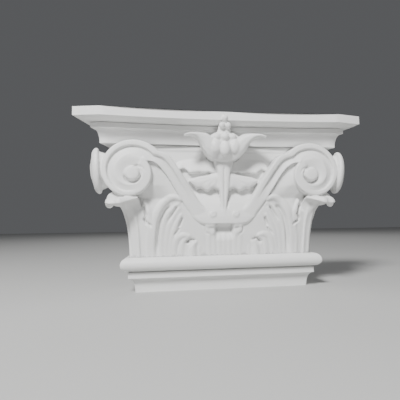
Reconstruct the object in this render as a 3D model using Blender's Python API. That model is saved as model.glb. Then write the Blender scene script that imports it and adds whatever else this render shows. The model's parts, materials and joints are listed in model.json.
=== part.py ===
"""Pilaster capital with corner scrolls, acanthus and a flower, cast in one piece with a flat back.

X runs along the wall, the front faces -Y, and the origin is the middle of the underside. Distances out
from the wall are counted from the flat back, and on_wall() turns them into Y.
The mouldings are worked out from the sizes below. The carving is drawn at a nominal size, as points
(along the wall, out from the wall, up) in millimetres, and fit() stretches it to those sizes.
"""
import math

import bmesh
import bpy
import numpy as np

# Overall sizes, in metres. The abacus stands out from the shaft below at each end and in front.
SHAFT_WIDTH = 0.197
SHAFT_DEPTH = 0.034  # from the wall to the face of the shaft
OVERHANG = 0.0620
PROJECTION = 0.030
HEIGHT = 0.1985
EASE = 0.0006  # softened edge of a moulding

# Foot: cove, fillet, groove and round stand out from the shaft's outline.
COVE_HEIGHT = 0.0159
COVE_FLARE = 0.0066
FILLET_HEIGHT = 0.0065
GROOVE_HEIGHT = 0.0016
GROOVE_SINK = 0.0035
ROUND_HEIGHT = 0.0146
ROUND_OUT = 0.0147

# Abacus: plan with a hollow front and cut corners, and its mouldings from the top down.
CORNER_CUT = 0.0275
CORNER_BACK = 0.006
SIDE_TAPER = 0.013
HOLLOW = 0.0065
FASCIA_HEIGHT = 0.0093
OVOLO_HEIGHT = 0.0033
OVOLO_BULGE = 0.0011
SLOT_HEIGHT = 0.0012
SLOT_SINK = 0.0016
BAND_HEIGHT = 0.0049
BAND_SET_BACK = 0.0132
CAVETTO_HEIGHT = 0.0158
CAVETTO_SET_BACK = 0.0205

# Bell behind the carving: how far it stands out from the shaft, low and at its lip.
BELL_SIDE_LOW = 0.0015
BELL_SIDE_TOP = 0.0130
BELL_FRONT_LOW = 0.0025
BELL_FRONT_TOP = 0.0020
BELL_SEAT = 0.009  # sunk into the foot
BELL_HEAD = 0.006  # let into the abacus
LIP_HEIGHT = 0.0060
LIP_GROOVE = 0.0012
LIP_OUT = 0.0010
LIP_SINK = 0.0025
ROUNDING = 0.22  # power of the bell's plan, squarer the smaller it is

# Scrolls, at the nominal size: eye, centre of the coils, start radius, gain per turn, rim and channel.
EYE_X, EYE_Z, EYE_OUT = 99.8, 130.4, 55.0
EYE_RADIUS = 8.2
COIL_OUT, COIL_UP = 2.0, 1.8
COIL_TAKE = 14.0
SCROLL_RADIUS = 36.8
SCROLL_PITCH = 17.0
RIM_SHARE = 0.40
RIM_RISE = 4.2
CHANNEL_SINK = 1.0
EYE_RISE = 4.6
SCROLL_START = 135.0
DRUM = (136.5, 40.0, 134.5)
DRUM_TURN = 6.0
DRUM_DEEP = 0.9

WIDTH = SHAFT_WIDTH + 2 * OVERHANG
DEPTH = SHAFT_DEPTH + PROJECTION
BASE_TOP = COVE_HEIGHT + FILLET_HEIGHT + GROOVE_HEIGHT + ROUND_HEIGHT
ABACUS_HEIGHT = FASCIA_HEIGHT + OVOLO_HEIGHT + SLOT_HEIGHT + BAND_HEIGHT + CAVETTO_HEIGHT
ABACUS_FOOT = HEIGHT - ABACUS_HEIGHT
NOMINAL = dict(width=321.0, shaft=34.0, depth=67.0, low=39.5, high=165.0)


def on_wall(out):
    """Y of a distance out from the wall."""
    return SHAFT_DEPTH / 2 - out


def fit(points):
    """Nominal millimetres (along, out, up) to metres (x, y, z) of this capital."""
    along, out, up = np.moveaxis(np.asarray(points, float), -1, 0)
    behind = np.minimum(out, NOMINAL["shaft"]) * SHAFT_DEPTH / NOMINAL["shaft"]
    before = np.maximum(out - NOMINAL["shaft"], 0) * PROJECTION / (NOMINAL["depth"] - NOMINAL["shaft"])
    rise = (ABACUS_FOOT - BASE_TOP) / (NOMINAL["high"] - NOMINAL["low"])
    return np.stack([
        along * WIDTH / NOMINAL["width"],
        on_wall(behind + before),
        BASE_TOP + (up - NOMINAL["low"]) * rise,
    ], axis=-1)


def curve(points, count):
    """Catmull-Rom curve through the points, sampled evenly by chord length."""
    p = np.asarray(points, float)
    p = np.vstack([2 * p[0] - p[1], p, 2 * p[-1] - p[-2]])
    length = np.concatenate([[0], np.cumsum(np.linalg.norm(np.diff(p[1:-1], axis=0), axis=1))])
    s = np.interp(np.linspace(0, length[-1], count), length, np.arange(len(length)))
    i = np.minimum(s.astype(int), len(length) - 2)
    t = (s - i)[:, None]
    a, b, c, d = p[i], p[i + 1], p[i + 2], p[i + 3]
    return 0.5 * (2 * b + (c - a) * t + (2 * a - 5 * b + 4 * c - d) * t**2
                  + (3 * b - a - 3 * c + d) * t**3)


def grid_faces(rows, cols, start=0):
    i = np.arange(rows * cols).reshape(rows, cols) + start
    return np.stack([i[:-1, :-1], i[1:, :-1], i[1:, 1:], i[:-1, 1:]], axis=-1).reshape(-1, 4)


def welded(points, faces, within=1e-4):
    """Coincident points made one, and faces that fold to a line dropped."""
    _, first, index = np.unique(np.round(points / within).astype(np.int64), axis=0,
                                return_index=True, return_inverse=True)
    index = index.reshape(-1)
    kept = []
    for face in faces:
        ring = []
        for corner in index[list(face)]:
            if not ring or ring[-1] != corner:
                ring.append(int(corner))
        if len(ring) > 1 and ring[0] == ring[-1]:
            ring.pop()
        if len(set(ring)) > 2:
            kept.append(ring)
    return points[first], kept


def facing_out(points, faces):
    """The faces turned so that the closed surface holds a positive volume."""
    total = 0.0
    for ring in faces:
        a = points[ring[0]]
        for j in range(1, len(ring) - 1):
            total += np.dot(a, np.cross(points[ring[j]], points[ring[j + 1]]))
    return faces if total > 0 else [list(ring)[::-1] for ring in faces]


def backed(front, faces, back):
    """A sheet closed by a copy of itself at the points of back, joined along its free edges."""
    count = len(front)
    seen = {}
    for ring in faces:
        for a, b in zip(ring, list(ring[1:]) + [ring[0]]):
            seen[(a, b)] = True
    walls = [[b, a, a + count, b + count] for a, b in seen if (b, a) not in seen]
    both = [list(f) for f in faces] + [[i + count for i in list(f)[::-1]] for f in faces] + walls
    return np.vstack([front, back]), both


def sheet(front, back):
    """Closed solid between two grids of points with the same rows and columns."""
    rows, cols = front.shape[:2]
    faces = grid_faces(rows, cols).tolist()
    return backed(front.reshape(-1, 3), faces, back.reshape(-1, 3))


def rings(loops):
    """Closed solid through loops of points, capped at both ends."""
    count, size = loops.shape[:2]
    faces = []
    for r in range(count - 1):
        for j in range(size):
            k = (j + 1) % size
            faces.append([r * size + j, r * size + k, (r + 1) * size + k, (r + 1) * size + j])
    faces.append(list(range(size))[::-1])
    faces.append([(count - 1) * size + j for j in range(size)])
    return loops.reshape(-1, 3), faces


def egg(centre, radii, around=10, up=6):
    """Ellipsoid from a unit sphere."""
    ball = bmesh.new()
    bmesh.ops.create_uvsphere(ball, u_segments=around, v_segments=up, radius=1)
    points = np.array([corner.co[:] for corner in ball.verts]) * radii + centre
    faces = [[corner.index for corner in face.verts] for face in ball.faces]
    ball.free()
    return points, faces


def dome(outline, edge, top, back, swell=0.5):
    """Boss with this outline (along, up): an upright side, then a rounded face up to its middle."""
    o = np.asarray(outline, float)
    middle = o.mean(axis=0)
    edge = np.broadcast_to(np.asarray(edge, float), (len(o),))
    loops = []
    for share, level in ((1.0, None), (1.0, 0.0), (0.72, swell), (0.36, 0.5 + 0.45 * swell)):
        flat = middle + (o - middle) * share
        out = np.full(len(o), back, float) if level is None else edge + (top - edge) * level
        loops.append(np.stack([flat[:, 0], out, flat[:, 1]], axis=-1))
    return rings(np.array(loops))


def scroll_edge(turn):
    """Outer radius of the scroll at this angle along it."""
    return SCROLL_RADIUS - SCROLL_PITCH * turn / 360


def scroll_plane(x, z):
    """Distance of the scroll's lowest face from the wall, fuller at the eye."""
    r = np.hypot(x - EYE_X, z - EYE_Z)
    return EYE_OUT + 3.0 * (1 - r / SCROLL_RADIUS)


def coil_points(radius, angle):
    """Points (along, up) of a coil: the outer ones are centred a little out and up from the eye."""
    share = np.clip((radius - EYE_RADIUS) / COIL_TAKE, 0, 1)
    x = EYE_X + COIL_OUT * share + radius * np.cos(angle)
    z = EYE_Z + COIL_UP * share + radius * np.sin(angle)
    return x, z


def band_profile(share):
    """Height of the band at a share of its width: wall, rounded rim, groove, channel rising inward."""
    rim = RIM_RISE * np.clip(share / 0.06, 0, 1)
    groove = CHANNEL_SINK * np.ones_like(share)
    t = np.clip((share - RIM_SHARE) / 0.05, 0, 1)
    body = rim * (1 - t) + groove * t
    body = body + t * 1.2 * np.sin(np.pi * np.clip((share - RIM_SHARE) / (1 - RIM_SHARE), 0, 1))
    return np.where(share >= 1, 0, body)


BAND_SHARES = np.array([0, 0.06, 0.36, 0.46, 0.74, 1.0])
STEM_OUTER = [(9, 44, 88), (20.5, 46, 96.5), (29.5, 48, 108.5), (38, 50, 120), (46, 52, 129.5),
              (53.8, 54, 141.8), (63, 55, 151.8)]
STEM_INNER = [(9, 43, 74.5), (22, 43, 74), (31, 44, 79), (38.5, 45, 87.5), (46, 46.5, 98.5),
              (54.5, 48.5, 113), (64.5, 51, 129.5), (75.5, 54, 141.5)]


def scroll(step=18.0, stem_count=12):
    """Stem and scroll as one band, welded to itself turn on turn, with the eye in the middle."""
    last = 360 * (SCROLL_RADIUS - EYE_RADIUS) / SCROLL_PITCH
    last = step * round(last / step)
    turns = np.arange(0, last + step / 2, step)
    angle = np.radians(SCROLL_START - turns)
    outer = np.maximum(scroll_edge(turns), EYE_RADIUS)
    outer[-1] = EYE_RADIUS
    inner = np.where(turns + 360 <= last, np.maximum(scroll_edge(turns + 360), EYE_RADIUS), EYE_RADIUS)
    inner[np.isclose(turns + 360, last)] = EYE_RADIUS
    share = BAND_SHARES[None, :]
    radius = outer[:, None] * (1 - share) + inner[:, None] * share
    x, z = coil_points(radius, angle[:, None])
    fade = np.clip((outer - inner) / 6, 0, 1)[:, None]
    out = scroll_plane(x, z) + band_profile(share) * fade
    coil = np.stack([x, out, z], axis=-1)

    start_outer, start_inner = coil[0, 0], coil[0, -1]
    a = curve(STEM_OUTER + [tuple(start_outer)], stem_count)[:, None, :]
    b = curve(STEM_INNER + [tuple(start_inner)], stem_count)[:, None, :]
    stem = a * (1 - share[..., None]) + b * share[..., None]
    grow = np.clip(np.linspace(-0.1, 1.6, stem_count)[:, None], 0, 1)
    plain = RIM_RISE * np.clip(share / 0.06, 0, 1) * np.clip((1 - share) / 0.26, 0, 1) * 0.45
    stem[..., 1] += band_profile(share) * grow + plain * (1 - grow)
    band = np.vstack([stem[:-1], coil])
    rows, cols = band.shape[:2]
    points = band.reshape(-1, 3)
    faces = grid_faces(rows, cols).tolist()

    ring_turns = turns[turns > last - 360 + step / 2]
    t = np.radians(SCROLL_START - ring_turns)
    count = len(points)
    eye = []
    for r, rise in ((1.0, 0.0), (0.9, 0.75), (0.5, 1.0)):
        ex = EYE_X + EYE_RADIUS * r * np.cos(t)
        ez = EYE_Z + EYE_RADIUS * r * np.sin(t)
        eye.append(np.stack([ex, scroll_plane(ex, ez) + EYE_RISE * rise, ez], axis=-1))
    middle = np.array([[EYE_X, scroll_plane(EYE_X, EYE_Z) + EYE_RISE, EYE_Z]])
    n = len(t)
    points = np.vstack([points] + eye + [middle])
    for r in range(2):
        for j in range(n):
            k = (j + 1) % n
            faces.append([count + r * n + j, count + (r + 1) * n + j,
                          count + (r + 1) * n + k, count + r * n + k][::-1])
    for j in range(n):
        faces.append([count + 2 * n + j, count + 2 * n + (j + 1) % n, count + 3 * n])
    points, faces = welded(points, faces, 1e-3)
    back = points.copy()
    back[:, 1] = np.interp(points[:, 0], [0, 92, 112], [26, 26, 37])
    return backed(points, faces, back)


def drum(around=22):
    """Scroll on the side of the bell, seen on edge from the front."""
    axis = np.array([math.cos(math.radians(DRUM_TURN)), math.sin(math.radians(DRUM_TURN)), 0])
    across = np.array([-axis[1], axis[0], 0])
    up = np.array([0, 0, 1.0])
    t = np.linspace(0, 2 * math.pi, around, endpoint=False)[:, None]
    loops = []
    for radius, along in ((12, -34), (19, -14), (23.8, -6), (25.3, -1), (25.2, 3.5), (23.2, 6.5),
                          (18, 6.8), (16.5, 4.5), (9.5, 5.2), (8.6, 8.0), (4, 9.0)):
        ring = DRUM + axis * along + radius * (DRUM_DEEP * np.cos(t) * across + np.sin(t) * up)
        ring[:, 1] = np.maximum(ring[:, 1], 3.0)
        loops.append(ring)
    return rings(np.array(loops))


def ribbed(outer, rib, inner, count, rise, flutes):
    """Leaf face between two edge curves, lifted along its rib and fluted."""
    a, m, b = (curve(c, count) for c in (outer, rib, inner))
    u = np.linspace(0, 1, 2 * flutes + 1)
    rows = []
    for share in u:
        line = a * (1 - 2 * share) + m * 2 * share if share <= 0.5 else (
            m * (2 - 2 * share) + b * (2 * share - 1))
        rows.append(line)
    front = np.stack(rows, axis=1)
    v = np.linspace(0, 1, count)[:, None]
    swell = rise * np.sin(np.pi * u)[None, :] * np.sin(np.pi * np.clip(v * 0.9 + 0.1, 0, 1))**0.5
    comb = np.where(np.arange(len(u)) % 2 == 1, -1.1, 0.5)[None, :] * np.sin(np.pi * v)**0.5
    front[..., 1] += swell + comb
    return front


def normals(grid):
    """Unit normals of a grid of points, on the side away from the wall at its first row."""
    along = np.gradient(grid, axis=0)
    across = np.gradient(grid, axis=1)
    n = np.cross(across, along)
    n /= np.linalg.norm(n, axis=-1, keepdims=True) + 1e-12
    return n if n[0, :, 1].sum() > 0 else -n


def corner_leaf():
    """Leaf up the corner of the bell, its top rolled outward and down under the scroll."""
    outer = [(104, 30, 34), (105, 31, 58), (107.5, 32.5, 76), (111, 36, 88), (115, 40.5, 96),
             (120.5, 46, 101), (126, 51, 101.5), (129, 54, 100), (129.5, 55, 97)]
    rib = [(97, 38, 34), (98, 40.5, 58), (100, 42.5, 77), (103, 46, 90), (107, 51.5, 98),
           (111.5, 57.5, 103), (117, 62, 103.5), (120, 63.5, 101), (120, 63.5, 97.5)]
    inner = [(88, 36, 34), (89, 38, 58), (90, 39.5, 77), (91, 42.5, 90), (92.5, 46.5, 98),
             (95, 53, 103), (98.5, 58.5, 105), (102, 61.5, 104), (103, 61.5, 101)]
    count = 15
    front = ribbed(outer, rib, inner, count, 0.8, 3)
    v = np.linspace(0, 1, count)[:, None, None]
    straight = front.copy()
    straight[..., 1] = 24
    offset = front - normals(front) * 4.4
    roll = np.clip((v - 0.40) / 0.18, 0, 1)
    return sheet(front, straight * (1 - roll) + offset * roll)


def side_leaf(count=19):
    """Leaf that bends toward the middle, its tip over the stem, lobed on both edges."""
    outer = [(87, 33, 34), (85.5, 36, 50), (84.5, 37.5, 62), (86, 39, 68), (83.5, 39.5, 72.5), (88.5, 40, 78),
             (90, 40, 84), (88.5, 40.5, 88), (90.5, 40.5, 95), (89, 42, 101), (82, 44, 104.5), (75, 45.5, 106),
             (68, 47, 109), (61, 49, 111), (55, 50, 110.5), (50.5, 51, 107), (48.3, 51, 102)]
    rib = [(77, 37, 34), (77, 39, 50), (75.5, 41.5, 64), (72.5, 44, 76), (68, 46.5, 86), (62.5, 49.5, 94),
           (57, 51.5, 99), (52, 53, 101.5), (48.8, 52, 100.5)]
    inner = [(62, 34, 34), (60, 36.5, 48), (58, 38, 58), (54, 39, 66), (49, 40, 73), (46.5, 40.5, 79),
             (47, 41.5, 84.5), (52, 43, 88), (56, 44.5, 90), (52.5, 47, 93.5), (49.5, 49, 97.5), (48.3, 51, 100)]
    front = ribbed(outer, rib, inner, count, 2.6, 4)
    back = front.copy()
    back[..., 1] = 24
    return sheet(front, back)


def low_leaf():
    """Small leaf at the foot: a broad lobe whose tip turns over, and a fuller one beside it."""
    broad = [(60, 34), (60, 48), (59, 56), (56.5, 61), (52, 64.5), (46, 64), (41, 63), (38, 60), (40.5, 57),
             (43.5, 54), (45, 46), (45, 34)]
    full = [(46, 34), (44, 46), (42, 54), (38.5, 57.5), (34, 57), (31.5, 53.5), (30, 47.5), (31, 34)]
    return [dome(broad, 38.0, 42.5, 24.0, 0.75), dome(full, 39.0, 45.0, 24.0, 0.75)]


def foot_leaf():
    """Ribbed leaf below the cup."""
    rows = []
    for z, half, out in ((34, 25, 37), (44, 21, 38.5), (54, 18, 40), (62, 17, 41.5), (67, 18.5, 42),
                         (72, 21, 43), (76, 22, 43.5)):
        u = np.linspace(-1, 1, 9)
        ridge = np.array([-5.0, -0.6, 0, -0.9, 0.6, -0.9, 0, -0.6, -5.0])
        hollow = -7.0 * np.clip((z - 62) / 5, 0, 1) * (np.abs(u) < 0.6)
        rows.append(np.stack([half * u, out + ridge + hollow, np.full(9, float(z))], axis=-1))
    front = np.array(rows)
    back = front.copy()
    back[..., 1] = 22
    return sheet(front, back)


def sheath():
    """Smooth swelling between the stem and the scroll."""
    outline = [(48, 96), (54, 108), (61, 121), (69, 133), (77, 141), (86, 146), (94, 136), (92, 118),
               (94, 104), (84, 98), (66, 92)]
    return dome(outline, 44.0, 50.0, 24.0, 0.7)


def upper_lobe():
    outline = [(12, 134), (20, 132.5), (26, 133.5), (33.5, 132.5), (40, 131.5), (42.5, 135), (44.5, 138),
               (53, 134), (50, 141.5), (42, 147), (30, 148.5), (17, 146), (8, 141)]
    return dome(outline, 42.5, 48.0, 24.0, 0.7)


def lower_lobe():
    outline = [(4, 111), (8, 114.5), (11, 117), (14, 114.5), (18, 112), (22.5, 113), (26, 117), (29, 116.5),
               (33, 119), (38.5, 124), (33, 128.5), (24, 131), (13, 131.5), (4, 131)]
    return dome(outline, 44.0, 49.5, 24.0, 0.7)


def cup():
    """Calyx that both stems grow from: fuller toward its lip."""
    rows = []
    for z, half, out in ((72.5, 17, 34), (73, 20, 44), (76, 23.5, 47), (83, 26, 47.5), (92, 28, 46),
                         (101, 31, 43.5), (110, 35, 40), (119, 39, 36.5), (125, 41, 32)):
        u = np.linspace(-1, 1, 9)
        rows.append(np.stack([half * u, out - 2.5 * u**2, np.full(9, z)], axis=-1))
    front = np.array(rows)
    back = front.copy()
    back[..., 1] = 22
    return sheet(front, back)


def stalk():
    rows = []
    for z, half, out in ((79, 4.2, 43), (84, 4.3, 49), (92, 4.2, 50), (104, 3.9, 50.5), (116, 4.0, 50.5),
                         (126, 4.7, 50.5), (134, 6.2, 50.5), (141, 9, 51), (150, 12, 52)):
        u = np.array([-1, -0.62, -0.24, 0, 0.24, 0.62, 1])
        ridge = np.array([-5.0, 0, -1.4, -2.2, -1.4, 0, -5.0])
        rows.append(np.stack([half * u, out + ridge, np.full(7, float(z))], axis=-1))
    front = np.array(rows)
    back = front.copy()
    back[..., 1] = 22
    return sheet(front, back)


def petal(count=10):
    """Outer petal: from under the bud, out and over to a turned tip."""
    low = [(6, 54, 145.5), (14, 59, 147), (21, 61, 152), (26, 62, 159), (30, 64, 165), (35, 67, 168.5),
           (40, 69.5, 169.5), (45, 70, 168.5)]
    mid = [(6, 61, 155), (12, 64, 158), (17, 65, 163), (22, 65.5, 169), (28, 67, 172.5), (34, 69, 173.5),
           (40, 70.3, 173), (45, 70.5, 170)]
    high = [(8, 57, 162), (11.5, 60, 166), (15, 61, 171), (20, 61, 175), (27, 61.5, 177), (34, 64, 177),
            (40, 67, 175.5), (45, 69.5, 171.5)]
    a, m, b = (curve(c, count) for c in (low, mid, high))
    front = np.stack([a, (a + m) / 2 + [0, 1.2, 0], m, (m + b) / 2 + [0, 1.0, 0], b], axis=1)
    back = front.copy()
    back[..., 1] = np.minimum(front[..., 1] - 5, np.linspace(28, 62, count)[:, None])
    return sheet(front, back)


def spike():
    """Core that carries the berries, in front of the abacus."""
    loops = []
    for z, half, out in ((150, 9, 56), (165, 10, 60), (178, 8, 59.5), (188, 5.5, 58.5), (195, 3.2, 57.5)):
        t = np.linspace(0, math.pi, 9)
        x = half * np.cos(t)
        d = out - 6 + 6 * np.sin(t)
        loop = np.stack([x, d, np.full(9, float(z))], axis=-1)
        loops.append(np.vstack([loop, [[-half, 26, z], [half, 26, z]]]))
    return rings(np.array(loops))


def mirrored(part):
    points, faces = part
    return points * [-1, 1, 1], [list(f)[::-1] for f in faces]


def set_in(plan, inward):
    """The plan moved inward by a distance at its front and ends; its two back corners stay on the wall."""
    p = np.asarray(plan, float)
    out = p.copy()
    for i in range(1, len(p) - 1):
        a = p[i] - p[i - 1]
        b = p[i + 1] - p[i]
        na = np.array([a[1], -a[0]]) / np.linalg.norm(a)
        nb = np.array([b[1], -b[0]]) / np.linalg.norm(b)
        out[i] = p[i] - inward * (na + nb) / (1 + na @ nb)
        if i == 1:
            out[0, 0] -= inward / na[0]
    out[-1, 0] -= inward / nb[0]
    return out


def moulding(plan, profile):
    """Closed moulding: the plan set in by each profile point at its height."""
    loops = []
    for inward, z in profile:
        ring = set_in(plan, inward)
        loops.append(np.column_stack([ring[:, 0], on_wall(-ring[:, 1]), np.full(len(ring), z)]))
    return rings(np.array(loops))


def quarter(start, end, count, hollow):
    """Quarter of an ellipse between two profile points, bulging out or hollow."""
    t = np.linspace(0, math.pi / 2, count)
    (a, za), (b, zb) = start, end
    if hollow:
        return [(a + (b - a) * (1 - math.cos(s)), za + (zb - za) * math.sin(s)) for s in t]
    return [(a + (b - a) * math.sin(s), za + (zb - za) * (1 - math.cos(s))) for s in t]


def foot():
    """Cove, fillet, groove and round, mitred at the two front corners."""
    half, deep = SHAFT_WIDTH / 2, SHAFT_DEPTH
    plan = [(-half, 0), (-half, -deep), (half, -deep), (half, 0)]
    z1 = COVE_HEIGHT
    z2 = z1 + FILLET_HEIGHT
    z3 = z2 + GROOVE_HEIGHT
    profile = [(EASE, 0), (0, EASE)]
    profile += quarter((0, 2 * EASE), (-COVE_FLARE, z1), 6, True)
    profile += [(-COVE_FLARE - EASE, z1 + EASE / 2), (-COVE_FLARE - EASE, z2 - EASE), (-COVE_FLARE, z2)]
    profile += [(-GROOVE_SINK, z2 + EASE / 6), (-GROOVE_SINK, z3)]
    middle = z3 + ROUND_HEIGHT / 2
    for s in np.radians([-72, -48, -24, 0, 24, 48, 72, 90]):
        profile.append((-ROUND_OUT + (ROUND_HEIGHT / 2) * (1 - math.cos(s)),
                        middle + ROUND_HEIGHT / 2 * math.sin(s)))
    return moulding(plan, profile)


def abacus():
    """Cavetto, band, slot, ovolo and fascia around a plan with a hollow front and cut corners."""
    half, deep = WIDTH / 2, DEPTH
    turn = half - CORNER_CUT
    x = np.linspace(-1, 1, 13)
    front = np.column_stack([x * turn, -(deep - HOLLOW * (1 - x**2))])
    plan = np.vstack([[(SIDE_TAPER - half, 0), (-half, -(deep - CORNER_BACK))], front,
                      [(half, -(deep - CORNER_BACK)), (half - SIDE_TAPER, 0)]])
    z0 = ABACUS_FOOT
    z1 = z0 + CAVETTO_HEIGHT
    z2 = z1 + BAND_HEIGHT
    z3 = z2 + SLOT_HEIGHT
    z4 = z3 + OVOLO_HEIGHT
    profile = [(CAVETTO_SET_BACK + EASE, z0)]
    profile += quarter((CAVETTO_SET_BACK, z0 + EASE), (BAND_SET_BACK + 2 * EASE, z1), 6, True)
    profile += [(BAND_SET_BACK, z1 + EASE / 6), (BAND_SET_BACK, z2 - EASE), (BAND_SET_BACK + EASE, z2),
                (BAND_SET_BACK + SLOT_SINK, z2 + EASE / 6), (BAND_SET_BACK + SLOT_SINK, z3)]
    run, rise = BAND_SET_BACK - 4 * EASE, OVOLO_HEIGHT
    for t in np.linspace(0, 1, 5):
        bulge = OVOLO_BULGE * math.sin(math.pi * t)
        profile.append((BAND_SET_BACK - 2 * EASE - run * t - bulge * rise / run, z3 + rise * t - bulge))
    profile += [(EASE, z4 + EASE / 6), (0, z4 + EASE), (0, HEIGHT - EASE), (EASE, HEIGHT)]
    return moulding(plan, profile)


def bell():
    """Rounded box behind the carving, flaring a little to a lip under the abacus."""
    t = np.linspace(0, math.pi, 17)
    c, s = np.cos(t), np.sin(t)
    low, high = BASE_TOP, ABACUS_FOOT
    lip, neck = high - LIP_HEIGHT, high - LIP_GROOVE
    loops = []
    for z, share, extra in ((low - BELL_SEAT, 0, -LIP_OUT), (low + LIP_OUT, 0, 0),
                            (low + 0.3 * (high - low), 0.12, 0), (low + 0.6 * (high - low), 0.45, 0),
                            (lip, 0.85, 0), (lip + EASE / 3, 1, LIP_OUT), (neck, 1, LIP_OUT),
                            (neck, 1, -LIP_SINK), (high + BELL_HEAD, 1, -LIP_SINK)):
        side = BELL_SIDE_LOW + (BELL_SIDE_TOP - BELL_SIDE_LOW) * share + extra
        front = BELL_FRONT_LOW + (BELL_FRONT_TOP - BELL_FRONT_LOW) * share + extra
        x = (SHAFT_WIDTH / 2 + side) * np.sign(c) * np.abs(c)**ROUNDING
        out = (SHAFT_DEPTH + front) * s**ROUNDING
        loops.append(np.column_stack([x, on_wall(out), np.full(len(t), z)]))
    return rings(np.array(loops))


def both_sides(part):
    return [part, mirrored(part)]


def carving():
    """Every carved shape, in metres."""
    parts = [cup(), stalk(), spike(), foot_leaf(), egg((0, 52.0, 162.0), (22.0, 11.0, 17.5), 16, 9)]
    for part in [scroll(), drum(), corner_leaf(), side_leaf(), sheath(), upper_lobe(), lower_lobe(),
                 petal()] + low_leaf():
        parts += both_sides(part)
    parts += both_sides(egg((13.0, 46.8, 86.5), (5.0, 2.4, 5.0)))
    parts += both_sides(egg((10.8, 60.5, 160.5), (6.8, 5.6, 8.6)))
    parts.append(egg((0, 62.0, 157.5), (6.2, 5.6, 8.4)))
    parts += both_sides(egg((8.8, 60.0, 171.3), (4.3, 4.3, 4.3)))
    parts.append(egg((0, 61.8, 171.0), (4.5, 4.5, 4.5)))
    parts += both_sides(egg((4.0, 61.0, 184.0), (4.3, 4.3, 4.5)))
    parts.append(egg((0, 59.0, 193.0), (3.9, 3.9, 4.0)))
    parts += both_sides(egg((133.0, 58.5, 140.5), (4.0, 4.0, 4.0), 8, 6))
    parts += both_sides(egg((133.0, 58.5, 128.0), (4.0, 4.0, 4.0), 8, 6))
    return [(fit(points), faces) for points, faces in parts]


def new_object(name, part, collection):
    points, faces = welded(part[0], part[1], 1e-7)
    faces = facing_out(points, faces)
    mesh = bpy.data.meshes.new(name)
    mesh.from_pydata(points.tolist(), [], faces)
    mesh.update()
    obj = bpy.data.objects.new(name, mesh)
    collection.objects.link(obj)
    return obj


def plaster():
    material = bpy.data.materials.new("white casting")
    material.use_nodes = True
    shader = material.node_tree.nodes["Principled BSDF"]
    shader.inputs["Base Color"].default_value = (0.86, 0.86, 0.85, 1)
    shader.inputs["Roughness"].default_value = 0.7
    shader.inputs["Metallic"].default_value = 0
    return material


def main():
    for obj in list(bpy.data.objects):
        bpy.data.objects.remove(obj, do_unlink=True)
    scene = bpy.context.scene
    scene.unit_settings.system = "METRIC"
    pieces = bpy.data.collections.new("pilaster_capital")
    helpers = bpy.data.collections.new("carving")
    scene.collection.children.link(pieces)
    scene.collection.children.link(helpers)
    helpers.hide_render = True
    capital = new_object("capital", bell(), pieces)
    capital.data.materials.append(plaster())
    for i, part in enumerate([foot(), abacus()] + carving()):
        shape = new_object("carved_%02d" % i, part, helpers)
        shape.hide_render = True
        shape.display_type = "WIRE"
    join = capital.modifiers.new("join", "BOOLEAN")
    join.operation = "UNION"
    join.solver = "EXACT"
    join.operand_type = "COLLECTION"
    join.collection = helpers
    join.use_self = True


main()
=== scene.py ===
"""Looks of a pilaster capital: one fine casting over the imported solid, with floor, light and camera.

Carved shapes are drawn at a nominal size, as (along the wall, out from the wall, up) in millimetres, and
fitted() brings them to the frame's size. The bell's leaves are a height field that fingers and lobes raise.
Scrolls, side scrolls, corner leaves and the flower are closed shells. A voxel remesh makes one skin of
them, and the crisp mouldings of the foot and the abacus are united with it.
"""
import json
import math

import bmesh
import bpy
import numpy as np
from mathutils import Matrix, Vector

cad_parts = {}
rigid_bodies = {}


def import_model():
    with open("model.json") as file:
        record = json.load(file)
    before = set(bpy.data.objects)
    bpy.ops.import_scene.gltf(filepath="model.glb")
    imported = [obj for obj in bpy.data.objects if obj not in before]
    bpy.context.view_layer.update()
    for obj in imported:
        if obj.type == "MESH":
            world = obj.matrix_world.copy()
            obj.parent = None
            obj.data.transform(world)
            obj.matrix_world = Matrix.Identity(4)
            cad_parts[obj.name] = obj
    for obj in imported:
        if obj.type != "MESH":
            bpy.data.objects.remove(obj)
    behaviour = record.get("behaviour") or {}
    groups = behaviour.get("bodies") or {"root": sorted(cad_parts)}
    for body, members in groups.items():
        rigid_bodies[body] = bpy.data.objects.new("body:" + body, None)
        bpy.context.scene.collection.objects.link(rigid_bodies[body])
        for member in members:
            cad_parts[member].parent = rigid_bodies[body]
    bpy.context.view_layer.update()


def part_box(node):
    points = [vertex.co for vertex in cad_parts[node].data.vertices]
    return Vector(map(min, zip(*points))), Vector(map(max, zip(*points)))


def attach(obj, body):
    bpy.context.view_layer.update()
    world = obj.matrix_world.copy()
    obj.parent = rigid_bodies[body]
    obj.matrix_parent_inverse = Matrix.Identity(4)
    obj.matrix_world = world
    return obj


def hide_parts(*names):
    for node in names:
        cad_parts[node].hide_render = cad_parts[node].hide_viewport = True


bl_info = {
    "name": "Pilaster Capital",
    "version": (1, 0, 0),
    "blender": (4, 5, 0),
    "location": "3D View > Sidebar > Capital",
    "description": "Carves a flat-backed capital with scrolls, acanthus leaves and a flower",
    "category": "Add Mesh",
}

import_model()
LOW, HIGH = (np.array(corner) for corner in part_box("capital"))
WALL = float(HIGH[1])
MM = 0.001

# Nominal size of the carving, in millimetres: width over the abacus, depth of the shaft and of the abacus,
# top of the foot and foot of the abacus.
NOMINAL = dict(width=321.0, shaft=34.0, depth=67.0, low=39.5, high=165.0)

# Collection of the helper meshes, which go once the casting is made.
RAW = "raw carving"

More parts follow.
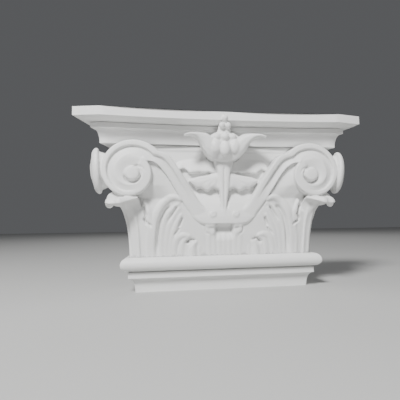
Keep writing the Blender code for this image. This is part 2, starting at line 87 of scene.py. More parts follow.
# Where the two stems and the scrolls run, at the nominal size. Turns and angles are in degrees.
EYE_X, EYE_Z, EYE_OUT = 99.8, 130.4, 55.0
EYE_RADIUS = 8.2
COIL_OUT, COIL_UP, COIL_TAKE = 2.0, 1.8, 14.0
SCROLL_RADIUS, SCROLL_PITCH, SCROLL_START = 36.8, 17.0, 135.0
SCROLL_DOME = 3.0
SEAM_TURNS = (-7, -1, 5)
RIM_SHARE, RIM_RISE, CHANNEL_FLOOR = 0.40, 4.0, 0.2
STEM_OUTER = [(12, 44, 86.5), (25, 46, 96), (33.4, 48, 108.5), (40.2, 50, 120), (46.6, 52, 130),
              (54.4, 54, 141.5), (62.8, 55, 151.7)]
STEM_INNER = [(9, 43, 74.5), (22, 43, 74), (31, 44, 79), (38.5, 45, 87.5), (46, 46.5, 98.5),
              (54.5, 48.5, 113), (64.5, 51, 129.5), (75.5, 54, 141.5)]
SIDE_SCROLL = (137.3, 40.0, 134.5)
SIDE_TURN, SIDE_LEAN, SIDE_DEEP = 6.0, 4.5, 0.9

# How far out from the wall the buried backs of the carved shells lie, and the ground of the front panel.
SCROLL_BACK, SCROLL_END_BACK, LEAF_BACK, PANEL_BACK, PANEL_GROUND = 26, 37, 24, 22, 30
PANEL_LOW, PANEL_HIGH = 33, 168

# The bell: half its width, and the power of cos and sin that squares its plan.
BELL_HALF, BELL_POWER = 98.5, 0.22

# Mouldings, in millimetres: tops above the underside or above the foot of the abacus, and how far each
# stands out past its plan or is set back from it.
COVE_TOP, COVE_FLARE = 15.9, 6.6
FILLET_TOP, FILLET_OUT = 22.4, 7.2
NECK_TOP, NECK_OUT = 24.0, 3.5
ROUND_MIDDLE, ROUND_RADIUS, ROUND_OUT = 31.3, 7.3, 14.7
CORNER_CUT, CORNER_BACK, FRONT_HOLLOW = 27.5, 6.0, 6.5
CAVETTO_TOP, CAVETTO_FOOT, CAVETTO_HEAD = 15.8, 20.5, 14.4
BAND_TOP, BAND_BACK = 20.7, 13.2
SLOT_TOP, SLOT_BACK = 21.9, 14.8
OVOLO_RISE, OVOLO_FOOT, OVOLO_HEAD, OVOLO_SAG = 3.3, 12.0, 1.2, 1.2
PLAIN_EDGE, STEP = 0.6, 0.1
ROUND_OFF = 0.5

# Finish: scales of the cloudy tint, the fine grain and the ripple, how much darker the clouds are, depth of
# the bump in metres, and how far clouds and hollows change the roughness.
CLOUD_SCALE, GRAIN_SCALE, RIPPLE_SCALE = 28.0, 900.0, 120.0
CLOUD_TINT, BUMP_DEPTH = 0.965, 0.0004
ROUGH_CLOUD, ROUGH_HOLLOW = 0.10, 0.14

# Lights: name, place in metres, size in metres and power in watts. All face the middle of the capital.
LIGHTS = (("key", (-0.52, -0.95, 1.08), 0.36, 36), ("fill", (1.1, -1.3, 0.75), 1.0, 2.5),
          ("back", (0.3, 1.4, 1.3), 1.0, 6))
LIT_HEIGHT = 0.11
SKY_COLOUR, SKY_STRENGTH = (0.86, 0.88, 0.92, 1), 0.12
FLOOR_HALF = 3.0
CAMERA_TURN, CAMERA_TILT, CAMERA_ROLL, CAMERA_SHIFT = -9.30, 93.5, -0.80, -0.08


class CapitalSizes(bpy.types.PropertyGroup):
    """Sizes that the frame's box doesn't give."""

    shaft_width: bpy.props.FloatProperty(
        name="Shaft width", description="Width of the flat underside", default=0.197, unit="LENGTH")
    shaft_depth: bpy.props.FloatProperty(
        name="Shaft depth", description="Depth of the flat underside", default=0.034, unit="LENGTH")
    depth: bpy.props.FloatProperty(
        name="Abacus depth", description="From the wall to the abacus corners", default=0.064, unit="LENGTH")
    side_taper: bpy.props.FloatProperty(
        name="Side taper", description="How far each side of the abacus turns in toward the wall",
        default=0.013, unit="LENGTH")
    foot_top: bpy.props.FloatProperty(
        name="Foot top", description="Height of the moulded foot", default=0.0386, unit="LENGTH")
    abacus_foot: bpy.props.FloatProperty(
        name="Abacus foot", description="Height of the abacus' lower edge", default=0.1640, unit="LENGTH")
    voxel: bpy.props.FloatProperty(
        name="Voxel", description="Grain of the carved skin", default=0.00075, unit="LENGTH", precision=5)
    triangles: bpy.props.IntProperty(
        name="Triangles", description="Most triangles of the carved skin", default=150000)


class CapitalFinish(bpy.types.PropertyGroup):
    """Finish of the casting."""

    colour: bpy.props.FloatVectorProperty(
        name="Colour", description="Colour of the primed casting", subtype="COLOR", size=3,
        default=(0.83, 0.83, 0.82), min=0, max=1)
    # Painted shade: the darker colour that the deep hollows are painted in.
    hollow: bpy.props.FloatVectorProperty(
        name="Hollow colour", description="Colour in the deep hollows", subtype="COLOR", size=3,
        default=(0.50, 0.50, 0.50), min=0, max=1)
    roughness: bpy.props.FloatProperty(
        name="Roughness", description="Mean roughness of the primer", default=0.52, min=0, max=1)


class CapitalStage(bpy.types.PropertyGroup):
    """Camera and floor."""

    distance: bpy.props.FloatProperty(
        name="Distance", description="From the wall to the camera", default=0.4478, unit="LENGTH")
    aside: bpy.props.FloatProperty(
        name="Aside", description="Camera along the wall", default=-0.0571, unit="LENGTH")
    rise: bpy.props.FloatProperty(
        name="Rise", description="Height of the camera", default=0.0759, unit="LENGTH")
    lens: bpy.props.FloatProperty(name="Lens", description="Focal length in millimetres", default=32.4)
    floor: bpy.props.FloatVectorProperty(
        name="Floor", description="Colour of the floor", subtype="COLOR", size=3, default=(0.50, 0.50, 0.49))


def fitted(points):
    """Nominal millimetres to metres: along and up scaled to the frame, out in two stretches, behind and
    before the face of the shaft."""
    sizes = bpy.context.scene.capital_sizes
    along, out, up = np.moveaxis(np.asarray(points, float), -1, 0)
    behind = np.minimum(out, NOMINAL["shaft"]) * sizes.shaft_depth / NOMINAL["shaft"]
    before = np.maximum(out - NOMINAL["shaft"], 0) * (
        (sizes.depth - sizes.shaft_depth) / (NOMINAL["depth"] - NOMINAL["shaft"]))
    rise = (sizes.abacus_foot - sizes.foot_top) / (NOMINAL["high"] - NOMINAL["low"])
    return np.stack([along * (HIGH[0] - LOW[0]) / NOMINAL["width"], WALL - behind - before,
                     sizes.foot_top + (up - NOMINAL["low"]) * rise], axis=-1)


def spline(points, count):
    """Catmull-Rom curve through the points, sampled evenly by the length of their chords."""
    p = np.asarray(points, float)
    p = np.vstack([2 * p[0] - p[1], p, 2 * p[-1] - p[-2]])
    length = np.concatenate([[0], np.cumsum(np.linalg.norm(np.diff(p[1:-1], axis=0), axis=1))])
    s = np.interp(np.linspace(0, length[-1], count), length, np.arange(len(length)))
    i = np.minimum(s.astype(int), len(length) - 2)
    t = (s - i)[:, None]
    a, b, c, d = p[i], p[i + 1], p[i + 2], p[i + 3]
    return 0.5 * (2 * b + (c - a) * t + (2 * a - 5 * b + 4 * c - d) * t**2
                  + (3 * b - a - 3 * c + d) * t**3)


def eased(t):
    """Smooth step from 0 to 1: 3t^2 - 2t^3."""
    t = np.clip(t, 0, 1)
    return t * t * (3 - 2 * t)


def quarter_round(t):
    """Quarter circle: height of a rounded edge at a share of its width."""
    t = np.clip(t, 0, 1)
    return np.sqrt(1 - (1 - t)**2)


def slab(front, back):
    """Closed shell between two grids of points: both sheets and a wall along their four edges."""
    rows, cols = front.shape[:2]
    size = rows * cols
    near = np.arange(size).reshape(rows, cols)
    sheet = np.stack([near[:-1, :-1], near[1:, :-1], near[1:, 1:], near[:-1, 1:]], -1).reshape(-1, 4)
    rim = np.concatenate([near[0, :-1], near[:-1, -1], near[-1, :0:-1], near[:0:-1, 0]])
    after = np.roll(rim, -1)
    wall = np.stack([rim, after, after + size, rim + size], -1)
    points = np.concatenate([front.reshape(-1, 3), back.reshape(-1, 3)])
    return points, np.vstack([sheet, sheet[:, ::-1] + size, wall])


def lofted(loops):
    """Closed shell through loops of points, each end drawn in to its middle."""
    ends = [np.broadcast_to(loop.mean(axis=0), loop.shape)[None] for loop in (loops[0], loops[-1])]
    loops = np.concatenate([ends[0], loops, ends[1]])
    rows, cols = loops.shape[:2]
    index = np.arange(rows * cols).reshape(rows, cols)
    right = np.roll(index, -1, axis=1)
    faces = np.stack([index[:-1], right[:-1], right[1:], index[1:]], -1).reshape(-1, 4)
    return loops.reshape(-1, 3), faces


def ball(centre, radii, around=32, up=18):
    """Ellipsoid: rings of radius sin(a) at height cos(a), stretched by the three radii."""
    a = np.linspace(0, np.pi, up)[1:-1, None]
    t = np.linspace(0, 2 * np.pi, around, endpoint=False)[None, :]
    unit = np.stack([np.sin(a) * np.cos(t), np.sin(a) * np.sin(t), np.cos(a) + 0 * t], axis=-1)
    return lofted(unit * radii + centre)


def mirrored(shell):
    """The shell on the other side of the middle, with its faces wound the other way."""
    points, faces = shell
    return points * [-1, 1, 1], faces[:, ::-1]


def both_sides(shells):
    """Each shell and its mirror image."""
    return [side for shell in shells for side in (shell, mirrored(shell))]


def raw_object(name, shells, fit=True):
    """One helper mesh of several closed shells, each turned so that it holds a positive volume."""
    points, faces, start = [], [], 0
    for p, f in shells:
        corners = p[f]
        volume = np.einsum("ij,ij->i", corners[:, 0], np.cross(corners[:, 1], corners[:, 2])).sum()
        volume += np.einsum("ij,ij->i", corners[:, 0], np.cross(corners[:, 2], corners[:, 3])).sum()
        # fitted() turns out into -Y, which mirrors a shell, so a fitted one starts with its faces inwards.
        if (volume > 0) == fit:
            f = f[:, ::-1]
        points.append(fitted(p) if fit else p)
        faces.append(f + start)
        start += len(p)
    points, faces = np.concatenate(points), np.concatenate(faces)
    mesh = bpy.data.meshes.new(name)
    mesh.vertices.add(len(points))
    mesh.vertices.foreach_set("co", points.astype(np.float32).ravel())
    mesh.loops.add(faces.size)
    mesh.loops.foreach_set("vertex_index", faces.astype(np.int32).ravel())
    mesh.polygons.add(len(faces))
    mesh.polygons.foreach_set("loop_start", np.arange(0, faces.size, 4, dtype=np.int32))
    mesh.update(calc_edges=True)
    mesh.validate()
    obj = bpy.data.objects.new(name, mesh)
    helpers = bpy.data.collections.get(RAW)
    if helpers is None:
        helpers = bpy.data.collections.new(RAW)
        bpy.context.scene.collection.children.link(helpers)
    helpers.objects.link(obj)
    return obj


def nearest(points, line):
    """Distance of each point to a line of points, and where along the line the nearest point is, 0 to 1."""
    a, step = line[:-1], np.diff(line, axis=0)
    away = points[:, None, :] - a[None]
    t = np.clip((away * step).sum(-1) / (step * step).sum(-1), 0, 1)
    gap = np.linalg.norm(away - t[..., None] * step, axis=-1)
    best = gap.argmin(axis=1)
    row = np.arange(len(points))
    return gap[row, best], (best + t[row, best]) / len(step)


def inside(points, outline):
    """Whether each point is inside a closed outline: a line from it to the right crosses an odd count of
    its sides."""
    a, b = outline, np.roll(outline, -1, axis=0)
    x, y = points[:, :1], points[:, 1:]
    over = (a[:, 1] > y) != (b[:, 1] > y)
    run = np.where(b[:, 1] == a[:, 1], 1.0, b[:, 1] - a[:, 1])
    cross = a[:, 0] + (y - a[:, 1]) * (b[:, 0] - a[:, 0]) / run
    return (over & (x < cross)).sum(axis=1) % 2 == 1


class Relief:
    """Height field over a grid of points (along, up): how far each stands out from the wall."""

    def __init__(self, along, up, base):
        self.shape = along.shape
        self.flat = np.stack([along.ravel(), up.ravel()], axis=-1)
        self.out = base.ravel().astype(float)

    def reach(self, line, margin):
        """Which grid points are within a margin of the box around a line."""
        low, high = line.min(axis=0) - margin, line.max(axis=0) + margin
        return np.flatnonzero(((self.flat >= low) & (self.flat <= high)).all(axis=1))

    def raise_to(self, index, height, blend):
        """Greater of the field and a new height, with their crossing rounded over a blend distance."""
        old = self.out[index]
        soft = np.clip(blend - np.abs(old - height), 0, None)**2 / (4 * max(blend, 1e-6))
        self.out[index] = np.maximum(old, height) + soft

    def lobe(self, outline, edge, top, width, lean=(0, 0), blend=0.0):
        """Raise the inside of a closed outline: upright at its edge, then a quarter circle of a width up to
        its top. It leans by lean, in millimetres out for each along and up."""
        ring = spline(list(outline) + [outline[0]], 8 * len(outline))
        index = self.reach(ring, 0)
        index = index[inside(self.flat[index], ring[:-1])]
        gap, _ = nearest(self.flat[index], ring)
        height = edge + (top - edge) * quarter_round(gap / width)
        height += (self.flat[index] - ring.mean(axis=0)) @ np.array(lean)
        self.raise_to(index, height, blend)

    def finger(self, path, half, crown, drop=2.0, blend=0.5):
        """Raise a rounded finger along a path of (along, up): crown above the body on the path, less drop
        times the square of the share of half, its half width. half and crown may vary along the path."""
        flat = spline(path, 12 * len(path))
        index = self.reach(flat, np.max(half) + 1)
        gap, share = nearest(self.flat[index], flat)
        width = np.interp(share, np.linspace(0, 1, np.size(half)), np.atleast_1d(half))
        above = np.interp(share, np.linspace(0, 1, np.size(crown)), np.atleast_1d(crown))
        within = gap < width
        index = index[within]
        height = body_level(*self.flat[index].T) + (above - drop * (gap / width)**2)[within]
        self.raise_to(index, height, blend)

    def groove(self, path, half, depth, fade=(0.15, 0.15)):
        """Cut a round-bottomed groove along a path of (along, up). It fades in and out over a share of its
        length at each end."""
        flat = spline(path, 12 * len(path))
        index = self.reach(flat, half + 1)
        gap, share = nearest(self.flat[index], flat)
        ends = eased(share / max(fade[0], 1e-6)) * eased((1 - share) / max(fade[1], 1e-6))
        self.out[index] -= depth * ends * np.clip(1 - (gap / half)**2, 0, 1)**1.5

    def hollow(self, centre, radii, depth):
        """Press in a round hollow: depth times one less the square of the distance in radii, squared."""
        share = (((self.flat - centre) / radii)**2).sum(axis=1)
        self.out -= depth * np.clip(1 - share, 0, 1)**2

    def grid(self):
        """The field in the rows and columns of its grid."""
        return self.out.reshape(self.shape)


def coil_centre(radius):
    """Middle of a coil: the outer ones are centred a little out and up from the eye."""
    share = np.clip((radius - EYE_RADIUS) / COIL_TAKE, 0, 1)
    return EYE_X + COIL_OUT * share, EYE_Z + COIL_UP * share


def band_height(share, groove):
    """Section of the band: a rim with a round edge, a groove, and a channel that rises inward. Where groove
    is 0 the band is plain."""
    rim = RIM_RISE * quarter_round(share / 0.12) * (1 - 0.04 * share)
    inward = np.clip((share - RIM_SHARE) / (1 - RIM_SHARE), 0, 1)
    channel = CHANNEL_FLOOR + (RIM_RISE + CHANNEL_FLOOR) * inward**1.6
    cut = rim + (channel - rim) * eased((share - RIM_SHARE + 0.02) / 0.09)
    return rim + (cut - rim) * groove


def scroll_disc(turns=260, rings=110):
    """Disc of the scroll. Its edge is a spiral that loses a pitch in each turn, and inside it every point
    has a share of the way from that edge to the next coil's edge, which is a fixed part of the first."""
    turn = np.linspace(SEAM_TURNS[0], 360 - SEAM_TURNS[0], turns)[:, None]
    edge = SCROLL_RADIUS - SCROLL_PITCH * turn / 360
    inner = edge * (1 - SCROLL_PITCH / SCROLL_RADIUS)
    radius = edge * (1 - np.linspace(0, 1, rings)[None, :])
    angle = np.radians(SCROLL_START - turn)
    x0, z0 = coil_centre(radius)
    x, z = x0 + radius * np.cos(angle), z0 + radius * np.sin(angle)

    # First coil with its rim and channel, then the next one, which sinks toward the eye.
    groove = 1 - eased((turn - 150) / 110)
    outer = band_height((edge - radius) / (edge - inner), groove)
    gap = EYE_RADIUS + 1.6
    share = np.clip((inner - radius) / np.maximum(inner - gap, 1.0), 0, 1)
    second = RIM_RISE + CHANNEL_FLOOR - 2.6 * share**1.6
    height = np.where(radius > inner, outer, second)
    seam = np.exp(-((radius - inner) / 1.5)**2) * (1 - eased((turn - 10) / 70))
    height = height - 1.1 * seam

    # Pocket around the eye, deeper and wider below it, and the round eye in it.
    to_eye = np.hypot(x - EYE_X, z - EYE_Z)
    low = np.clip(-(z - EYE_Z) / np.maximum(to_eye, 1), 0, 1)
    pocket = eased((EYE_RADIUS + 1.2 + 2.6 * low - to_eye) / (0.8 + 1.4 * low))
    height = height * (1 - pocket) - (0.5 + 2.5 * low) * pocket
    eye = 5.0 * quarter_round((EYE_RADIUS - to_eye) / 2.4) - 0.5
    height = np.where(to_eye < EYE_RADIUS, np.maximum(height, eye), height)

    # Groove that hooks over the eye.
    hook = spline([(EYE_X - 2.4, EYE_Z + 7.6), (EYE_X - 6, EYE_Z + 8.0), (EYE_X - 10.5, EYE_Z + 5.5),
                   (EYE_X - 13.5, EYE_Z + 0.5)], 30)
    gap_hook, along = nearest(np.stack([x.ravel(), z.ravel()], -1), hook)
    fade = (1 - along.reshape(x.shape))**0.7
    height = height - 2.4 * fade * np.clip(1 - (gap_hook.reshape(x.shape) / 1.5)**2, 0, 1)
    out = EYE_OUT + SCROLL_DOME * (1 - to_eye / SCROLL_RADIUS) + height
    front = np.stack([x, out, z], axis=-1)
    back = front.copy()
    back[..., 1] = np.interp(x, [92, 112], [SCROLL_BACK, SCROLL_END_BACK])
    return slab(front, back)


def scroll_edges(turn):
    """Points on the outer and the inner edge of the scroll's first coil, at a turn in degrees."""
    edge = SCROLL_RADIUS - SCROLL_PITCH * turn / 360
    angle = math.radians(SCROLL_START - turn)
    points = []
    for radius in (edge, edge * (1 - SCROLL_PITCH / SCROLL_RADIUS)):
        x0, z0 = coil_centre(np.float64(radius))
        x, z = x0 + radius * math.cos(angle), z0 + radius * math.sin(angle)
        dome = SCROLL_DOME * (1 - math.hypot(x - EYE_X, z - EYE_Z) / SCROLL_RADIUS)
        points.append((x, EYE_OUT + dome, z))
    return points


def stem(rows=150, cols=44):
    """Band from the cup to the scroll: straight between its two edge curves, raised by a section that turns
    from a plain one with two round edges into the scroll's own."""
    share = np.linspace(0, 1, cols)[None, :]
    outer, inner = zip(*(scroll_edges(turn) for turn in SEAM_TURNS))
    a = spline(STEM_OUTER + list(outer), rows)[:, None, :]
    b = spline(STEM_INNER + list(inner), rows)[:, None, :]
    front = a * (1 - share[..., None]) + b * share[..., None]
    up = np.linspace(0, 1, rows)[:, None]
    groove = eased((up - 0.30) / 0.35)
    round_edges = 2.4 * quarter_round(share / 0.30) * quarter_round((1 - share) / 0.22)
    front[..., 1] += band_height(share, 1.0) * groove + round_edges * (1 - groove)
    back = front.copy()
    back[..., 1] = SCROLL_BACK
    return slab(front, back)


def side_scroll(around=120):
    """Scroll on the side of the bell: a profile of (radius, along its axis) carried round the axis, narrower
    in depth than in height."""
    turn, lean = math.radians(SIDE_TURN), math.radians(SIDE_LEAN)
    axis = np.array([math.cos(turn) * math.cos(lean), math.sin(turn), -math.sin(lean)])
    across = np.array([-math.sin(turn), math.cos(turn), 0])
    t = np.linspace(0, 2 * math.pi, around, endpoint=False)
    circle = SIDE_DEEP * np.cos(t)[:, None] * across + np.sin(t)[:, None] * np.cross(axis, across)
    profile = spline([(12, -34), (17, -14), (20, -5.5), (21.2, -2.4), (23.6, -1.8), (25, -0.6), (25.2, 0.8),
                      (24.6, 2.2), (22.8, 3.9), (21, 4.9), (19, 5.5), (17.8, 5.2), (16.5, 5.6), (12.5, 6.8),
                      (9.6, 7.1), (8.8, 7.7), (6.5, 8.1), (2, 8.3)], 80)
    loops = SIDE_SCROLL + axis * profile[:, 1, None, None] + circle[None] * profile[:, 0, None, None]

    # What would pass through the wall is held a little in front of it.
    loops[..., 1] = np.maximum(loops[..., 1], 3.0)
    return lofted(loops)


def leaf_face(edges, count, wide):
    """Grid between several edge curves, straight across from one to the next."""
    lines = np.stack([spline(edge, count) for edge in edges], axis=1)
    across = np.linspace(0, len(edges) - 1, wide)
    i = np.minimum(across.astype(int), len(edges) - 2)
    t = (across - i)[None, :, None]
    return lines[:, i] * (1 - t) + lines[:, i + 1] * t


def normals(grid):
    """Unit normals of a grid of points, on the side away from the wall at its first row."""
    n = np.cross(np.gradient(grid, axis=1), np.gradient(grid, axis=0))
    n /= np.linalg.norm(n, axis=-1, keepdims=True) + 1e-12
    return n if n[0, :, 1].sum() > 0 else -n


def corner_leaf(count=130, wide=70):
    """Leaf up the corner of the bell: a grid across three edge curves, whose tops roll outward and over into
    a lip under the scroll. Along its normals it gets flutes, a cosine of three waves across, and a swell, a
    sine across by a sine up. Its top is a thin sheet and its foot goes back into the bell."""
    outer = [(104, 30, 34), (105, 31, 58), (107.5, 32.5, 76), (111, 36, 87.5), (114, 40.5, 94),
             (117, 46, 97.4), (119.5, 51, 98), (121.5, 54.5, 96.8), (122, 56, 94.5)]
    rib = [(97, 38, 34), (98, 40.5, 58), (100, 42.5, 77), (103, 46, 89), (107, 51.5, 96.4),
           (110, 57.5, 100.2), (112, 61.5, 101.2), (113, 63, 100), (113, 63, 97.6)]
    inner = [(88, 36, 34), (89, 38, 58), (90, 39.5, 77), (91, 41, 89), (92, 43.5, 96),
             (93, 47.5, 100.5), (94, 52, 102.6), (94.5, 54.5, 102.8), (94.5, 55.5, 102)]
    front = leaf_face([outer, rib, inner], count, wide)
    u = np.linspace(0, 1, wide)[None, :]
    v = np.linspace(0, 1, count)[:, None]
    flutes = 1.4 * np.cos(2 * np.pi * 3 * u) * eased(v / 0.06) * (1 - eased((v - 0.55) / 0.25))
    swell = 1.6 * np.sin(np.pi * u) * np.sin(np.pi * np.clip(v * 0.9 + 0.1, 0, 1))**0.5
    n = normals(front)
    front = front + n * (flutes + swell)[..., None]
    straight = front.copy()
    straight[..., 1] = LEAF_BACK
    thick = 4.4 + 4.0 * eased((0.45 - u) / 0.35) * eased((v - 0.75) / 0.2) - 1.2 * eased((u - 0.6) / 0.4)
    offset = front - n * thick[..., None]
    roll = np.clip((v - 0.40) / 0.18, 0, 1)[..., None]
    return slab(front, straight * (1 - roll) + offset * roll)


def bell(around=200):
    """Rounded box behind the carving: a plan of cos and sin to a small power, flaring to a lip. At each
    height it stands out past half its width, and past the depth of the shaft, by its own amounts."""
    t = np.linspace(0, math.pi, around)
    c, s = np.cos(t), np.sin(t)
    heights = [30, 45, 60, 77, 95, 115, 140, 158.6, 159.3, 164.8, 164.9, 171]
    side = [1.5, 1.6, 1.9, 2.8, 4.5, 6.7, 9.4, 11.5, 13.2, 14.0, 10.5, 10.5]
    face = [2.5, 2.5, 2.4, 2.4, 2.3, 2.2, 2.1, 2.0, 2.8, 3.2, -0.5, -0.5]
    loops = []
    for z, x_out, y_out in zip(heights, side, face):
        x = (BELL_HALF + x_out) * np.sign(c) * np.abs(c)**BELL_POWER
        out = (NOMINAL["shaft"] + y_out) * s**BELL_POWER
        loops.append(np.column_stack([x, out, np.full(len(t), z)]))
    return lofted(np.array(loops))


def calyx(field):
    """Smooth panel that both stems grow from. It stands out by a curve of the height up, less the square of
    the place along, and its edge is a quarter circle."""
    side = [(12, 72.5), (20, 73.6), (26, 75), (31.5, 78.5), (37.5, 84), (43, 90), (48.5, 96.5), (53.5, 103),
            (52, 116), (40, 124)]
    lip = [(-12, 72.5), (0, 71.8)] + side + [(0, 124)] + [(-x, z) for x, z in reversed(side[1:])]
    ring = spline(lip + [lip[0]], 8 * len(lip))
    index = field.reach(ring, 0)
    index = index[inside(field.flat[index], ring[:-1])]
    gap, _ = nearest(field.flat[index], ring)
    x, z = field.flat[index].T
    out = np.interp(z, [72, 76, 83, 90, 98, 106, 114, 124],
                    [47.0, 48.6, 48.8, 47.8, 45.0, 40.8, 37.4, 35.5])
    out = out - 3.0 * (x / 45)**2 - 3.2 * (1 - quarter_round(gap / 3.6))
    field.raise_to(index, out, 0.0)


def foot_leaf(field):
    """Ribbed leaf below the cup, with a deep collar above it and a turned lobe at each side."""
    for x, half, head in ((0, 3.0, 62), (5.8, 3.2, 62), (11.8, 3.3, 69), (17.4, 3.2, 68)):
        field.finger([(x, 34), (x, 48), (x * 1.02, head - 6), (x * 1.03, head)], half, (0.5, 0.6, 0.6), 0.9)
    field.finger([(14, 65), (19, 69), (17.5, 73)], (4.5, 3.6), 1.6, 1.8)
    field.finger([(10.5, 72.4), (15, 73.2), (20, 72.8)], 1.9, 2.6, 1.6)
    field.groove([(20.5, 73.5), (21.6, 69), (20.4, 65.5), (16.5, 63)], 1.2, 1.6)
    x, z = field.flat.T
    field.out -= 6.5 * eased((z - 55) / 15) * eased((12 - x) / 4) * (z < 75)


def low_leaf(field):
    """Small leaf at the foot: a broad lobe whose tip turns over, and a fuller one beside it."""
    field.finger([(57, 34), (56.5, 48), (53.5, 58), (47, 62.6), (40.5, 61.5)], (5.2, 5.2, 4.6, 3.4),
                 (0.6, 1.6, 2.2), 2.4)
    field.finger([(49, 34), (48.5, 46), (46.5, 55), (42.5, 59)], (4.6, 4.6, 3.4), (0.6, 1.4, 1.4), 1.8)
    field.finger([(43.5, 34), (43.2, 43), (42.2, 50)], (3.4, 3.4, 2.4), 0.6, 1.4)
    field.finger([(36.5, 32), (36.6, 42), (36.0, 49), (33.0, 54.5)], (6.0, 6.2, 5.2, 3.4),
                 (1.4, 2.8, 2.8, 1.8), 3.0)
    field.finger([(28.4, 34), (28.3, 43), (28.0, 49)], (3.6, 3.4, 2.6), 0.6, 1.4)
    field.groove([(44, 56), (41.2, 55.4), (38.4, 58.0), (34.5, 57.6), (31.5, 54.6)], 1.8, 4.0, (0.2, 0.3))
    field.hollow((41.5, 55.2), (3.6, 2.8), 4.0)


def side_leaf(field):
    """Leaf that bends toward the middle with its tip over the stem, as fingers that fan from its foot."""
    field.finger([(84, 34), (84.5, 50), (84, 62), (82.6, 71)], (4.5, 4.2, 3.0), 1.2)
    field.finger([(80, 34), (80.5, 55), (82, 68), (84.2, 78), (86.0, 84)], (4.5, 4.6, 4.0, 2.6), 1.4)
    field.finger([(79, 55), (80, 72), (82.5, 86), (86, 96), (87.5, 100)], (4.5, 4.6, 4.4, 2.6), 1.6)
    field.finger([(79, 34), (78.8, 55), (77.6, 72), (74.6, 87), (68.6, 98.0), (61, 103.6), (54.5, 104.6),
                  (50, 102.4)],
                 (4.6, 5.0, 5.6, 5.8, 5.4, 4.8, 4.2, 3.0), (0.8, 1.2, 1.7, 2.2, 2.6, 2.8, 2.8, 2.2), 2.6)
    field.finger([(70.6, 34), (70.6, 52), (69.4, 68), (66.2, 80), (61.2, 89.4), (54.6, 95.6), (50.4, 98.4)],
                 (3.2, 3.4, 3.6, 3.6, 3.2, 2.4), (0.4, 0.6, 0.8, 1.0, 0.8), 1.2)
    field.finger([(65.4, 34), (65.2, 50), (63.8, 64), (60.4, 76.4), (55.6, 85.6), (51.0, 92.0)],
                 (3.2, 3.4, 3.6, 3.6, 2.6), (0.4, 0.6, 0.8, 0.8), 1.0)
    field.finger([(61.6, 34), (60.8, 47), (59, 59), (55.4, 71), (51.0, 80.4), (48.6, 85.4)],
                 (3.2, 3.6, 4.0, 4.0, 2.6), (0.4, 0.8, 1.2, 1.2), 1.6)
    field.finger([(58.6, 34), (57.4, 46), (55, 57), (51.6, 66.6), (50.0, 71.6)],
                 (3.2, 3.6, 3.6, 2.4), 0.7, 1.4)
    field.groove([(58.5, 96.8), (64.0, 92.6), (68.2, 86.6), (71.2, 79.4), (73.0, 71), (74.2, 60), (74.8, 48),
                  (74.8, 38)], 3.0, 4.6, (0.1, 0.3))
    field.groove([(52.6, 95.4), (55.6, 90.2), (58.8, 85.2), (61.4, 80.6), (63.2, 75)], 2.0, 3.6, (0.1, 0.5))
    field.groove([(47.2, 83.0), (48.2, 79.2), (50.0, 74.6), (52.6, 69.0)], 1.9, 4.0, (0.1, 0.5))
    field.groove([(49.8, 71.0), (53.4, 66.4), (57.8, 61.4)], 1.7, 3.0, (0.1, 0.5))
    field.groove([(88.6, 98), (88.0, 90), (86.6, 85), (88.2, 81), (86.2, 77.6), (82.4, 75), (80.2, 71.6)],
                 2.0, 5.4, (0.1, 0.2))


def body_level(along, up):
    """How far the body of the carving stands out. It swells upward, rises to the scroll beside it, falls
    away under the scroll, and stands back a little at the corner leaf."""
    level = np.interp(up, [33, 45, 60, 75, 90, 100, 113, 129.5, 145],
                      [38.6, 40.2, 42.4, 44.2, 46.0, 47.2, 48.8, 51.2, 54.4])
    stem_edge = np.interp(up, [98.5, 113, 129.5, 141.5, 150], [46, 54.5, 64.5, 75.5, 82])
    toward = eased((along - stem_edge - 3) / 17)
    gain = np.interp(up, [90, 98, 104, 110, 118, 130, 145], [0, -1.5, -2.5, 0.5, 4.0, 4.6, 3.0])
    corner = eased((along - 84) / 12) * eased((104 - up) / 10)
    return level + gain * toward - 2.0 * corner


def body(field):
    """Body below the stems and up to the scrolls, with a crease along the stem and a hollow at the foot of
    the scroll."""
    outline = [(-5, 30), (100, 30), (99.5, 60), (98, 92), (97, 104), (92, 110), (88, 120), (86, 133),
               (86, 146), (78, 146)]
    edge = [(x, z) for x, _, z in reversed(STEM_INNER)]
    index = np.flatnonzero(inside(field.flat, np.array(outline + edge + [(-5, 74.5)], float)))
    field.raise_to(index, body_level(*field.flat[index].T), 0.0)
    field.groove(edge, 1.7, 2.6, (0.05, 0.05))
    field.hollow((93, 99), (13, 12), 4.5)


def upper_leaves(field):
    """Two leaves each side of the stalk: the upper one merges into the bell, the lower is scalloped."""
    upper = [(6, 134), (13, 133.4), (17, 134.4), (22, 133.6), (28, 134.4), (34, 133.2), (38.6, 132.8),
             (41.8, 135.8), (45.4, 137.8), (49, 136.4), (53, 134.8), (53.4, 139), (52, 145), (44, 151),
             (30, 155), (17, 155), (6, 152)]
    lower = [(4, 114), (7.6, 113.6), (10.6, 115.4), (14, 114.4), (18, 112.2), (22, 113.4), (25.4, 115.6),
             (30, 115.4), (33, 117.2), (36.5, 120), (39.8, 123.6), (36.5, 126.6), (29, 128.8),
             (18, 130.8), (10, 132.6), (4, 132.6)]
    field.lobe(upper, 36.8, 39.8, 8.0, (0.0, -0.55), 1.2)
    field.lobe(lower, 43.8, 47.6, 6.5, (-0.02, -0.06), 0.0)
    for x, z in ((35, 122.5), (27.5, 117.8), (19.2, 114.4), (9.4, 116.0)):
        field.groove([(7 + x * 0.2, 128 - (128 - z) * 0.25), ((7 + x) / 2, (128 + z) / 2 + 1), (x, z)],
                     1.4, 0.5, (0.4, 0.4))


